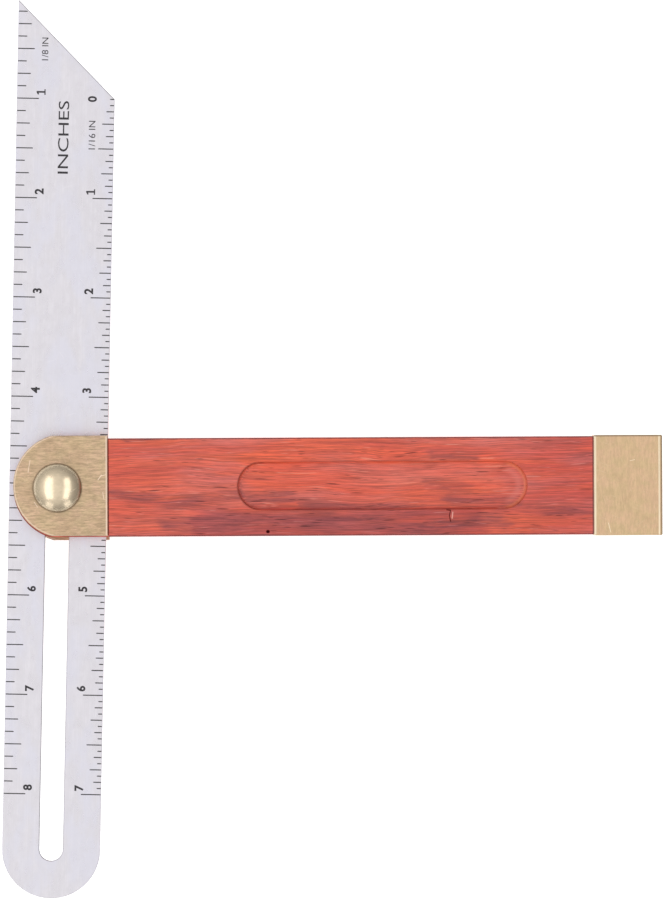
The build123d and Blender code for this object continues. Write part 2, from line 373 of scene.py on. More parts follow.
def add(tree, kind, inputs=None, **settings):
    """A node of that kind: sockets given in inputs are linked or set, and settings are its properties."""
    node = tree.nodes.new(kind)
    for name, value in settings.items():
        setattr(node, name, value)
    for socket, value in (inputs or {}).items():
        if isinstance(value, bpy.types.NodeSocket):
            tree.links.new(value, node.inputs[socket])
        else:
            node.inputs[socket].default_value = value
    return node


def sums(tree, operation, first, second=0.0, third=0.0, clamp=False):
    """One step of arithmetic on numbers."""
    node = add(tree, "ShaderNodeMath", {0: first, 1: second, 2: third}, operation=operation, use_clamp=clamp)
    return node.outputs[0]


def times(tree, first, second, clamp=False):
    """One number times another."""
    return sums(tree, "MULTIPLY", first, second, clamp=clamp)


def plus(tree, first, second):
    """One number and another."""
    return sums(tree, "ADD", first, second)


def minus(tree, first, second, clamp=False):
    """One number less another."""
    return sums(tree, "SUBTRACT", first, second, clamp=clamp)


def most(tree, first, *others):
    """The largest of several numbers."""
    for other in others:
        first = sums(tree, "MAXIMUM", first, other)
    return first


def joined_xyz(tree, x, y, z):
    """Three numbers as one vector."""
    return add(tree, "ShaderNodeCombineXYZ", {"X": x, "Y": y, "Z": z}).outputs[0]


def grey(tree, level):
    """A number as a colour without hue."""
    return add(tree, "ShaderNodeCombineColor", {0: level, 1: level, 2: level}).outputs[0]


def vector_sums(tree, operation, first, second=(0.0, 0.0, 0.0)):
    """One step of arithmetic on vectors; a length or a dot product comes out as a number."""
    node = add(tree, "ShaderNodeVectorMath", {0: first, 1: second}, operation=operation)
    return node.outputs["Value" if operation in ("LENGTH", "DOT_PRODUCT") else "Vector"]


def smooth(tree, value, low, high, out_low=0.0, out_high=1.0):
    """A smooth step of value from low to high."""
    inputs = {"Value": value, "From Min": low, "From Max": high, "To Min": out_low, "To Max": out_high}
    return add(tree, "ShaderNodeMapRange", inputs, interpolation_type="SMOOTHSTEP").outputs["Result"]


def blend(tree, share, first, second, mode="MIX"):
    """Two colours mixed by share."""
    node = add(tree, "ShaderNodeMix", data_type="RGBA", blend_type=mode, clamp_factor=True)
    for socket, value in ((node.inputs[0], share), (node.inputs[6], first), (node.inputs[7], second)):
        if isinstance(value, bpy.types.NodeSocket):
            tree.links.new(value, socket)
        elif socket.type == "RGBA":
            socket.default_value = (*value[:3], 1.0)
        else:
            socket.default_value = value
    return node.outputs[2]


def coats(tree, tone, *layers):
    """A colour under several coats, each (mask, strength, colour) laid over the ones before it."""
    for mask, strength, colour in layers:
        tone = blend(tree, times(tree, mask, strength), tone, colour)
    return tone


def noise(tree, vector, stretch, detail=3.0, roughness=0.55, distortion=0.0):
    """Smooth noise with stretch cells to the millimetre along each axis."""
    inputs = {
        "Vector": vector_sums(tree, "MULTIPLY", vector, stretch), "Scale": 1.0,
        "Detail": detail, "Roughness": roughness, "Distortion": distortion,
    }
    return add(tree, "ShaderNodeTexNoise", inputs).outputs["Fac"]


def noise_vector(tree, vector, stretch):
    """Three noises at once, as a vector, for bending other patterns."""
    inputs = {
        "Vector": vector_sums(tree, "MULTIPLY", vector, stretch), "Scale": 1.0,
        "Detail": 4.0, "Roughness": 0.62,
    }
    return add(tree, "ShaderNodeTexNoise", inputs).outputs["Color"]


def turned(tree, vector, angle):
    """A vector turned about Z."""
    inputs = {"Vector": vector, "Angle": angle}
    return add(tree, "ShaderNodeVectorRotate", inputs, rotation_type="Z_AXIS").outputs[0]


def new_group(name, inputs, outputs):
    """An empty node group with those sockets, and its input and output nodes."""
    tree = bpy.data.node_groups.new(name, "ShaderNodeTree")
    for label, kind, default in inputs:
        socket = tree.interface.new_socket(name=label, in_out="INPUT", socket_type=kind)
        if default is not None:
            socket.default_value = default
    for label, kind in outputs:
        tree.interface.new_socket(name=label, in_out="OUTPUT", socket_type=kind)
    return tree, tree.nodes.new("NodeGroupInput").outputs, tree.nodes.new("NodeGroupOutput").inputs


def place_group(tree, name, inputs):
    """A use of the node group of that name."""
    node = tree.nodes.new("ShaderNodeGroup")
    node.node_tree = bpy.data.node_groups[name]
    for socket, value in inputs.items():
        if isinstance(value, bpy.types.NodeSocket):
            tree.links.new(value, node.inputs[socket])
        else:
            node.inputs[socket].default_value = value
    return node.outputs


FLOAT, VECTOR, COLOUR = "NodeSocketFloat", "NodeSocketVector", "NodeSocketColor"


def make_brushing_group():
    """Fine parallel strokes: three layers of noise drawn out along X, from broad bands to hairlines."""
    tree, given, result = new_group(
        "Brushing",
        [("Vector", VECTOR, None), ("Fineness", FLOAT, 1.0), ("Length", FLOAT, 1.0)],
        [("Strokes", FLOAT), ("Height", FLOAT)],
    )
    along = sums(tree, "DIVIDE", 0.05, given["Length"])
    layers = []
    for across, weight in ((0.9, 0.3), (3.4, 0.4), (9.0, 0.3)):
        width = times(tree, given["Fineness"], across)
        stretch = joined_xyz(tree, along, width, width)
        layer = noise(tree, given["Vector"], stretch, detail=2.0, roughness=0.6)
        layers.append(times(tree, layer, weight))
    total = plus(tree, plus(tree, layers[0], layers[1]), layers[2])
    tree.links.new(smooth(tree, total, 0.36, 0.64), result["Strokes"])
    tree.links.new(total, result["Height"])


def make_tarnish_group():
    """Soft blotches where handling has dulled the metal, and fine specks inside them."""
    tree, given, result = new_group(
        "Tarnish",
        [("Vector", VECTOR, None), ("Size", FLOAT, 6.0), ("Cover", FLOAT, 0.5)],
        [("Blotches", FLOAT), ("Specks", FLOAT)],
    )
    cells = sums(tree, "DIVIDE", 1.0, given["Size"])
    stretch = joined_xyz(tree, cells, cells, cells)
    clouds = noise(tree, given["Vector"], stretch, detail=5.0, roughness=0.6, distortion=0.4)
    floor = minus(tree, 0.72, times(tree, given["Cover"], 0.4))
    top = plus(tree, floor, 0.22)
    blotches = smooth(tree, clouds, floor, top)
    grains = noise(tree, given["Vector"], (2.6, 2.6, 2.6), detail=2.0)
    specks = smooth(tree, grains, 0.66, 0.74)
    tree.links.new(blotches, result["Blotches"])
    tree.links.new(times(tree, specks, clouds), result["Specks"])


def make_hairline_group():
    """Stray hairline scratches three ways: the thin crests of noise drawn out along a turned axis."""
    tree, given, result = new_group(
        "Hairlines", [("Vector", VECTOR, None), ("Density", FLOAT, 0.5)], [("Lines", FLOAT)]
    )
    floor = minus(tree, 0.80, times(tree, given["Density"], 0.16))
    top = plus(tree, floor, 0.03)
    crests = []
    for angle, across in ((0.35, 5.0), (-0.62, 4.0), (1.25, 4.5)):
        drawn_out = noise(tree, turned(tree, given["Vector"], angle), (0.16, across, 0.4), detail=1.0)
        crests.append(smooth(tree, drawn_out, floor, top))
    tree.links.new(most(tree, *crests), result["Lines"])


def make_stroke_group():
    """One placed mark: how near a point is to the line at Radius round the segment from Start to End.

    With Radius 0 the mark is the segment itself. Otherwise it is the outline of a slot with the segment along
    its middle.
    """
    tree, given, result = new_group(
        "Stroke",
        [
            ("Vector", VECTOR, None), ("Start", VECTOR, None), ("End", VECTOR, None),
            ("Width", FLOAT, 0.2), ("Radius", FLOAT, 0.0),
        ],
        [("Mark", FLOAT)],
    )
    from_start = vector_sums(tree, "SUBTRACT", given["Vector"], given["Start"])
    whole = vector_sums(tree, "SUBTRACT", given["End"], given["Start"])
    length = most(tree, vector_sums(tree, "DOT_PRODUCT", whole, whole), 0.000001)
    share = sums(tree, "DIVIDE", vector_sums(tree, "DOT_PRODUCT", from_start, whole), length, clamp=True)
    spread = joined_xyz(tree, share, share, share)
    nearest = vector_sums(tree, "MULTIPLY", whole, spread)
    away = vector_sums(tree, "LENGTH", vector_sums(tree, "SUBTRACT", from_start, nearest))
    gap = sums(tree, "ABSOLUTE", minus(tree, away, given["Radius"]))
    tree.links.new(smooth(tree, gap, given["Width"], 0.0), result["Mark"])


def make_box_edge_group():
    """A box's arrises, for painted highlights and painted shade: how near a point is to two of the box's faces
    at once.
    """
    tree, given, result = new_group(
        "Box edge painted light",
        [("Vector", VECTOR, None), ("Low", VECTOR, None), ("High", VECTOR, None), ("Width", FLOAT, 0.4)],
        [("Edge", FLOAT)],
    )
    below = vector_sums(tree, "SUBTRACT", given["Vector"], given["Low"])
    above = vector_sums(tree, "SUBTRACT", given["High"], given["Vector"])
    nearest = add(tree, "ShaderNodeSeparateXYZ", {0: vector_sums(tree, "MINIMUM", below, above)}).outputs
    pairs = [
        most(tree, nearest[first], nearest[second]) for first, second in ((0, 1), (1, 2), (0, 2))
    ]
    gap = sums(tree, "MINIMUM", sums(tree, "MINIMUM", pairs[0], pairs[1]), pairs[2])
    uneven = noise(tree, given["Vector"], (0.7, 0.7, 0.7), detail=3.0)
    reach = times(tree, given["Width"], plus(tree, uneven, 0.5))
    tree.links.new(smooth(tree, gap, reach, 0.0), result["Edge"])


def make_ring_group():
    """A circle's line about Centre, faded out over Width: the half towards Side, or all of it if Side is 0."""
    tree, given, result = new_group(
        "Ring",
        [
            ("Vector", VECTOR, None), ("Centre", VECTOR, None), ("Radius", FLOAT, 1.0),
            ("Width", FLOAT, 0.2), ("Side", FLOAT, 1.0),
        ],
        [("Mark", FLOAT)],
    )
    offset = vector_sums(tree, "SUBTRACT", given["Vector"], given["Centre"])
    flat = vector_sums(tree, "MULTIPLY", offset, FLATTEN)
    away = minus(tree, vector_sums(tree, "LENGTH", flat), given["Radius"])
    line = smooth(tree, sums(tree, "ABSOLUTE", away), given["Width"], 0.0)
    sideways = add(tree, "ShaderNodeSeparateXYZ", {0: offset}).outputs[0]
    both = minus(tree, 1.0, sums(tree, "ABSOLUTE", given["Side"]))
    half = smooth(tree, times(tree, sideways, given["Side"]), -0.5, 2.0)
    half = most(tree, half, both)
    tree.links.new(times(tree, line, half), result["Mark"])


def make_wood_group():
    """Hardwood grain along X: straight figure, smoky streaks, fine fibres, pale flecks and open pores."""
    tree, given, result = new_group(
        "Hardwood",
        [
            ("Vector", VECTOR, None), ("Heart", COLOUR, None), ("Flame", COLOUR, None),
            ("Smoke", COLOUR, None), ("Pore", COLOUR, None), ("Smokiness", FLOAT, 0.0),
        ],
        [("Color", COLOUR), ("Roughness", FLOAT), ("Height", FLOAT)],
    )
    wave = minus(tree, noise(tree, given["Vector"], (0.02, 0.05, 0.05), detail=2.0), 0.5)
    bent = vector_sums(tree, "ADD", given["Vector"], joined_xyz(tree, 0.0, times(tree, wave, 5.0), wave))
    figure = noise(tree, bent, (0.02, 0.34, 0.26), detail=4.0, roughness=0.6, distortion=0.15)
    colour = blend(tree, smooth(tree, figure, 0.34, 0.66), given["Heart"], given["Flame"])
    haze = noise(tree, vector_sums(tree, "ADD", bent, (71.0, 0.0, 5.0)), (0.03, 0.16, 0.14))
    bloom = blend(tree, 0.55, given["Heart"], BLOOM)
    colour = coats(tree, colour, (smooth(tree, haze, 0.4, 0.7), 0.8, bloom))
    aside = vector_sums(tree, "ADD", bent, (40.0, 3.0, 7.0))
    ragged = noise(tree, aside, (0.07, 0.8, 0.6), detail=6.0, roughness=0.7, distortion=0.4)
    broken = smooth(tree, ragged, 0.36, 0.62, 0.25, 1.0)
    wild = smooth(tree, ragged, 0.60, 0.78, 0.0, 0.45)
    streaks = most(tree, times(tree, given["Smokiness"], broken), wild)
    colour = coats(tree, colour, (streaks, 0.9, given["Smoke"]))
    fibres = noise(tree, bent, (0.07, 4.2, 3.2), detail=4.0, roughness=0.68)
    fine = noise(tree, bent, (0.24, 11.0, 8.0), detail=2.0)
    shade = plus(tree, times(tree, fibres, 0.85), times(tree, fine, 0.45))
    level = smooth(tree, shade, 0.46, 0.84, 0.58, 1.36)
    colour = blend(tree, 1.0, colour, grey(tree, level), mode="MULTIPLY")
    flecks = noise(tree, vector_sums(tree, "ADD", bent, (9.0, 5.0, 2.0)), (0.12, 2.6, 2.0))
    pale = blend(tree, 0.35, given["Flame"], PALE_FLECK)
    colour = coats(tree, colour, (smooth(tree, flecks, 0.63, 0.72), 0.65, pale))
    dashes = []
    for shift, cells in ((0.0, (0.08, 1.15, 0.9)), (31.0, (0.15, 2.3, 1.8))):
        moved = vector_sums(tree, "MULTIPLY", vector_sums(tree, "ADD", bent, (shift, shift, shift)), cells)
        near = add(tree, "ShaderNodeTexVoronoi", {"Vector": moved, "Scale": 1.0}).outputs["Distance"]
        dashes.append(smooth(tree, near, 0.19, 0.08))
    patches = smooth(tree, noise(tree, given["Vector"], (0.06, 0.32, 0.3), detail=2.0), 0.36, 0.58)
    cover = plus(tree, patches, times(tree, streaks, 0.6))
    pores = times(tree, most(tree, *dashes), cover, clamp=True)
    colour = coats(tree, colour, (pores, 0.8, given["Pore"]))
    tree.links.new(colour, result["Color"])
    gloss = plus(tree, times(tree, fibres, 0.22), 0.36)
    tree.links.new(plus(tree, gloss, times(tree, pores, 0.3)), result["Roughness"])
    relief = minus(tree, times(tree, shade, 0.5), pores)
    tree.links.new(relief, result["Height"])


def new_material(name, turn=0.0):
    """A material with its Principled BSDF, and coordinates in millimetres from the pivot, turned about Z."""
    material = bpy.data.materials.new(name)
    material.use_nodes = True
    tree = material.node_tree
    tree.nodes.clear()
    shader = tree.nodes.new("ShaderNodeBsdfPrincipled")
    output = tree.nodes.new("ShaderNodeOutputMaterial")
    tree.links.new(shader.outputs[0], output.inputs[0])
    place = add(tree, "ShaderNodeTexCoord").outputs["Object"]
    offset = Matrix.Rotation(turn, 3, "Z") @ Vector(-PIVOT / MM)
    mapping = add(
        tree, "ShaderNodeMapping",
        {"Vector": place, "Location": offset, "Rotation": (0.0, 0.0, turn), "Scale": (1 / MM,) * 3},
    )
    return material, tree, shader, mapping.outputs[0]


def connect(tree, shader, **values):
    """Links or sets the shader's sockets; names use underscores for spaces."""
    for name, value in values.items():
        socket = shader.inputs[name.replace("_", " ")]
        if isinstance(value, bpy.types.NodeSocket):
            tree.links.new(value, socket)
        else:
            socket.default_value = (*value, 1.0) if socket.type == "RGBA" else value


def bump(tree, height, distance_mm, strength=1.0):
    """A normal from a height that is worth distance_mm at 1."""
    inputs = {"Height": height, "Distance": distance_mm * MM, "Strength": strength}
    return add(tree, "ShaderNodeBump", inputs).outputs[0]


def at_height(z, *strokes):
    """Placed strokes whose ends are given as (x, y), laid at height z."""
    return [((*start, z), (*end, z), *sizes) for start, end, *sizes in strokes]


def marks(tree, vector, strokes):
    """The strongest of several placed strokes, each (start, end, width) or (start, end, width, radius)."""
    placed = []
    for start, end, *sizes in strokes:
        inputs = {"Vector": vector, "Start": start, "End": end, **dict(zip(("Width", "Radius"), sizes))}
        placed.append(place_group(tree, "Stroke", inputs)["Mark"])
    return most(tree, *placed)


def circle_mark(tree, vector, centre, radius, width, side=0.0):
    """One placed circle, or its half towards side, about a centre given as (x, y)."""
    inputs = {"Vector": vector, "Centre": (*centre, 0.0), "Radius": radius, "Width": width, "Side": side}
    return place_group(tree, "Ring", inputs)["Mark"]


def tinted(colour, amounts):
    """A colour with each part multiplied by its own amount, up to 1."""
    return tuple(min(1.0, part * amount) for part, amount in zip(colour, amounts))


def scaled(colour, amount):
    """A colour made lighter or darker."""
    return tinted(colour, (amount,) * 3)


# ---------------------------------------------------------------- mesh helpers


def grid_faces(rows, columns, wrap_rows=False, wrap_columns=False):
    """Quads over a grid of rows by columns points, closed round either way on request."""
    first = np.arange(rows if wrap_rows else rows - 1)
    second = np.arange(columns if wrap_columns else columns - 1)
    row, column = np.meshgrid(first, second, indexing="ij")
    next_row, next_column = (row + 1) % rows, (column + 1) % columns
    corners = (row * columns + column, row * columns + next_column,
               next_row * columns + next_column, next_row * columns + column)
    return np.stack(corners, axis=-1).reshape(-1, 4)


def make_piece(name, points, faces, material, body, is_smooth=True):
    """A mesh object of points in millimetres from the pivot, riding on a body."""
    mesh = bpy.data.meshes.new(name)
    mesh.from_pydata((np.asarray(points) * MM + PIVOT).tolist(), [], [list(face) for face in faces])
    mesh.validate()
    mesh.polygons.foreach_set("use_smooth", [is_smooth] * len(mesh.polygons))
    mesh.materials.append(material)
    mesh.update()
    piece = bpy.data.objects.new(name, mesh)
    bpy.context.scene.collection.objects.link(piece)
    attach(piece, body)
    return piece


def revolve(profile, segments, depth=lambda angle, height: 0.0):
    """A profile of (radius, z) turned about Z, with its ends left open; depth lowers the radius by angle and
    z.
    """
    profile = np.asarray(profile, dtype=float)
    angle = np.linspace(0, 2 * math.pi, segments, endpoint=False)
    turn, radius = np.meshgrid(angle, profile[:, 0], indexing="xy")
    height = np.repeat(profile[:, 1][:, None], segments, axis=1)
    radius = radius - depth(turn, height)
    points = np.stack([radius * np.cos(turn), radius * np.sin(turn), height], axis=-1).reshape(-1, 3)
    faces = grid_faces(len(profile), segments, wrap_columns=True).tolist()
    return points, faces


def close_end(points, faces, ring, top, z):
    """Adds a centre point at height z and a fan to the ring of points, facing up or down."""
    centre = len(points)
    points = np.vstack([points, [[0.0, 0.0, z]]])
    fan = [(a, b, centre) if top else (b, a, centre) for a, b in zip(ring, np.roll(ring, -1))]
    return points, faces + [tuple(int(i) for i in face) for face in fan]


def arc(centre, radius, start, end, count):
    """Points (radius, z) on a circle from one angle to another, in degrees."""
    angle = np.radians(np.linspace(start, end, count))
    return np.stack([centre[0] + radius * np.cos(angle), centre[1] + radius * np.sin(angle)], axis=-1)


def paint_node(node, material):
    """Gives a carried-over CAD node its finished material."""
    mesh = frame["nodes"][node].data
    for index in range(len(mesh.materials)):
        mesh.materials[index] = material


# ---------------------------------------------------------------- materials


def brass_sheet(name, colour, box, scratches_and_highlights, shade_and_dirt, cover, contrast, nose=None, turn=0.0):
    """Sheet brass, brushed, dulled in blotches, with painted highlights on its edges and painted shade and
    dirt in its dark marks.

    The brushing runs along X turned about Z by turn, and fainter strokes cross it. box holds the corners
    whose edges get painted highlights. Painted shade and dirt lie along the dark strokes and in a thin line
    round the bolt's head, and dirt lies softly in a broader ring round it. nose is the centre (x, y) of a
    rounded outline of radius NOSE_RADIUS, whose rim gets a painted highlight like the edges.
    """
    material, tree, shader, vector = new_material(name)
    strokes = {}
    for label, angle in (("main", turn), ("cross", turn + math.pi / 2)):
        inputs = {"Vector": turned(tree, vector, angle), "Fineness": 1.0, "Length": BRUSH_LENGTH}
        strokes[label] = place_group(tree, "Brushing", inputs)
    brushing = strokes["main"]
    tarnish = place_group(tree, "Tarnish", {"Vector": vector, "Size": 7.0, "Cover": cover})
    hairs = place_group(tree, "Hairlines", {"Vector": vector, "Density": 0.45})["Lines"]
    inputs = {"Vector": vector, "Low": tuple(box[0]), "High": tuple(box[1]), "Width": 0.32}
    edge = place_group(tree, "Box edge painted light", inputs)["Edge"]

    low_tone, high_tone = scaled(colour, 1 - contrast), scaled(colour, 1 + contrast)
    tone = blend(tree, brushing["Strokes"], low_tone, high_tone)
    tone = coats(tree, tone, (strokes["cross"]["Strokes"], 0.35, high_tone))
    patches = noise(tree, vector, (0.22, 0.3, 0.3), detail=4.0, roughness=0.7)
    olive, warm = tinted(colour, BRASS_OLIVE), tinted(colour, BRASS_WARM)
    tone = blend(tree, 0.55, tone, blend(tree, smooth(tree, patches, 0.36, 0.64), olive, warm))
    tone = coats(
        tree, tone,
        (tarnish["Blotches"], 0.6, tinted(colour, BRASS_DULL)),
        (tarnish["Specks"], 0.4, scaled(colour, 0.6)),
    )
    grain = (3.0, 0.5, 3.0) if turn else (0.5, 3.0, 3.0)
    grit = noise(tree, vector, grain, detail=4.0, roughness=0.75)
    grit = smooth(tree, grit, 0.34, 0.66, 1 - 1.5 * contrast, 1 + 1.5 * contrast)
    tone = blend(tree, 1.0, tone, grey(tree, grit), mode="MULTIPLY")

    # Painted highlights on the edges and the nose's rim, with bare brass in hairlines and scratch lines
    bright = most(tree, times(tree, hairs, 0.18), times(tree, edge, 0.5))
    if nose:
        rim = circle_mark(tree, vector, nose, NOSE_RADIUS - 0.28, 0.26, side=-1.0)
        bright = most(tree, bright, times(tree, rim, 0.6))
    bright = most(tree, bright, marks(tree, vector, scratches_and_highlights))
    tone = blend(tree, bright, tone, tinted(colour, BRASS_BARE_AND_HIGHLIGHT))

    # Painted shade and dirt along the dark strokes and in a thin line round the bolt's head, and dirt in a
    # broader ring
    head = BOLT_HIGH[0] + 0.05
    contact_shade_and_dirt = circle_mark(tree, vector, (0.0, 0.0), head, 0.35)
    broad = circle_mark(tree, vector, (0.0, 0.0), head, 2.6)
    patchy = times(tree, broad, times(tree, tarnish["Specks"], 0.5))
    shade_and_dirt_mask = most(
        tree, times(tree, marks(tree, vector, shade_and_dirt), 0.9), times(tree, contact_shade_and_dirt, 0.4),
        plus(tree, patchy, times(tree, broad, 0.10)),
    )
    tone = blend(tree, shade_and_dirt_mask, tone, scaled(colour, SHADE_AND_DIRT_TONE))
    rough = plus(tree, times(tree, brushing["Strokes"], 0.10), 0.34)
    rough = plus(tree, rough, times(tree, tarnish["Blotches"], 0.08))
    height = minus(tree, brushing["Height"], times(tree, bright, 0.4))
    connect(tree, shader, Base_Color=tone, Metallic=1.0, Roughness=rough, Normal=bump(tree, height, 0.018))
    return material


def turned_brass(name, colour, roughness, fineness, cover, rim=None, spots=()):
    """Turned or cast brass: fine tool marks, a little tarnish, and painted shade and dirt at a rim's radius
    and in spots.
    """
    material, tree, shader, vector = new_material(name)
    tarnish = place_group(tree, "Tarnish", {"Vector": vector, "Size": 3.0, "Cover": cover})
    hairs = place_group(tree, "Hairlines", {"Vector": vector, "Density": 0.3})["Lines"]
    grain = noise(tree, vector, (fineness, fineness, fineness), detail=3.0)
    cloudy = smooth(tree, noise(tree, vector, (0.9, 0.9, 0.9), detail=5.0, roughness=0.7), 0.42, 0.66)
    tone = blend(tree, grain, scaled(colour, 0.92), scaled(colour, 1.08))
    tone = coats(
        tree, tone,
        (tarnish["Blotches"], 0.55, tinted(colour, TURNED_DULL)),
        (cloudy, 0.5, scaled(colour, 0.86)),
    )
    if rim:
        # Painted shade and dirt round the head's rim and in the spots
        plan = vector_sums(tree, "MULTIPLY", vector, FLATTEN)
        rim_shade_and_dirt = times(tree, circle_mark(tree, plan, (0.0, 0.0), rim, 0.75), 0.75)
        shade_and_dirt = most(tree, rim_shade_and_dirt, times(tree, marks(tree, plan, spots), 0.7))
        tone = blend(tree, shade_and_dirt, tone, scaled(colour, SHADE_AND_DIRT_TONE))
    rough = plus(tree, times(tree, tarnish["Blotches"], 0.10), roughness)
    rough = plus(tree, rough, times(tree, cloudy, 0.05))
    rough = plus(tree, rough, times(tree, hairs, 0.15))
    height = minus(tree, grain, times(tree, hairs, 0.5))
    connect(tree, shader, Base_Color=tone, Metallic=1.0, Roughness=rough, Normal=bump(tree, height, 0.006))
    return material


def blade_steel(colour):
    """Ground stainless steel, brushed along the blade, softly mottled, with painted shade along its outline
    and its slot.
    """
    material, tree, shader, vector = new_material("blade_steel_ground", turn=BLADE_TURN - math.pi / 2)
    brushing = place_group(tree, "Brushing", {"Vector": vector, "Fineness": 1.3, "Length": 1.6})
    tarnish = place_group(tree, "Tarnish", {"Vector": vector, "Size": 3.5, "Cover": 0.6})
    hairs = place_group(tree, "Hairlines", {"Vector": vector, "Density": 0.25})["Lines"]
    mottle = noise(tree, vector, (0.35, 0.75, 0.75), detail=4.0, roughness=0.6)
    cool = smooth(tree, noise(tree, vector, (0.05, 0.13, 0.13), detail=4.0), 0.44, 0.62)
    tone = blend(tree, brushing["Strokes"], scaled(colour, 0.955), scaled(colour, 1.035))
    tone = blend(tree, smooth(tree, mottle, 0.35, 0.65), scaled(colour, 0.96), tone)
    tone = coats(
        tree, tone,
        (cool, 0.7, tinted(colour, STEEL_COLD)),
        (tarnish["Blotches"], 0.35, scaled(colour, 0.93)),
        (hairs, 0.5, scaled(colour, 1.12)),
    )

    # Painted shade along the edges, the tail's arc, the slant and the slot, heavier on one side of the slot
    box = {
        "Vector": vector, "Low": (-FAR, -BLADE_HALF, -BLADE_FACE_Z), "High": (FAR, BLADE_HALF, BLADE_FACE_Z),
        "Width": 0.2,
    }
    edge = place_group(tree, "Box edge painted light", box)["Edge"]
    tail = circle_mark(tree, vector, (BLADE_TAIL + BLADE_HALF, 0.0), BLADE_HALF, 0.22, side=-1.0)
    plan = vector_sums(tree, "MULTIPLY", vector, FLATTEN)
    half_slot = SLOT_WIDTH / 2
    slot_line = ((SLOT_TAIL + half_slot, 0.0), (SLOT_TIP - half_slot, 0.0), 0.28, half_slot)
    slant_line = ((BLADE_TIP, BLADE_HALF), (BLADE_TIP - 2 * BLADE_HALF, -BLADE_HALF), 0.32)
    one_side = add(tree, "ShaderNodeSeparateXYZ", {0: vector}).outputs[1]
    shaded = smooth(tree, one_side, -1.5, 1.5, 0.3, 1.0)
    slot = times(tree, marks(tree, plan, at_height(0.0, slot_line)), shaded)
    slant = marks(tree, plan, at_height(0.0, slant_line))
    outline = most(tree, times(tree, edge, 0.35), times(tree, tail, 0.6))
    outline = most(tree, outline, most(tree, slot, slant))
    tone = coats(tree, tone, (outline, 0.85, scaled(colour, 0.25)))
    rough = plus(tree, times(tree, mottle, 0.12), 0.23)
    normal = bump(tree, brushing["Height"], 0.012)
    connect(tree, shader, Base_Color=tone, Metallic=1.0, Roughness=rough, Normal=normal)
    return material


def etched_ink(colour):
    """The blackened floor of an etched mark, with a little wear in it."""
    material, tree, shader, vector = new_material("etched_black")
    wear = noise(tree, vector, (3.0, 3.0, 3.0), detail=3.0)
    tone = blend(tree, smooth(tree, wear, 0.42, 0.72), colour, scaled(colour, 2.2))
    rough = plus(tree, wear, 0.15)
    connect(tree, shader, Base_Color=tone, Roughness=rough, Metallic=0.0, Normal=bump(tree, wear, 0.004))
    return material


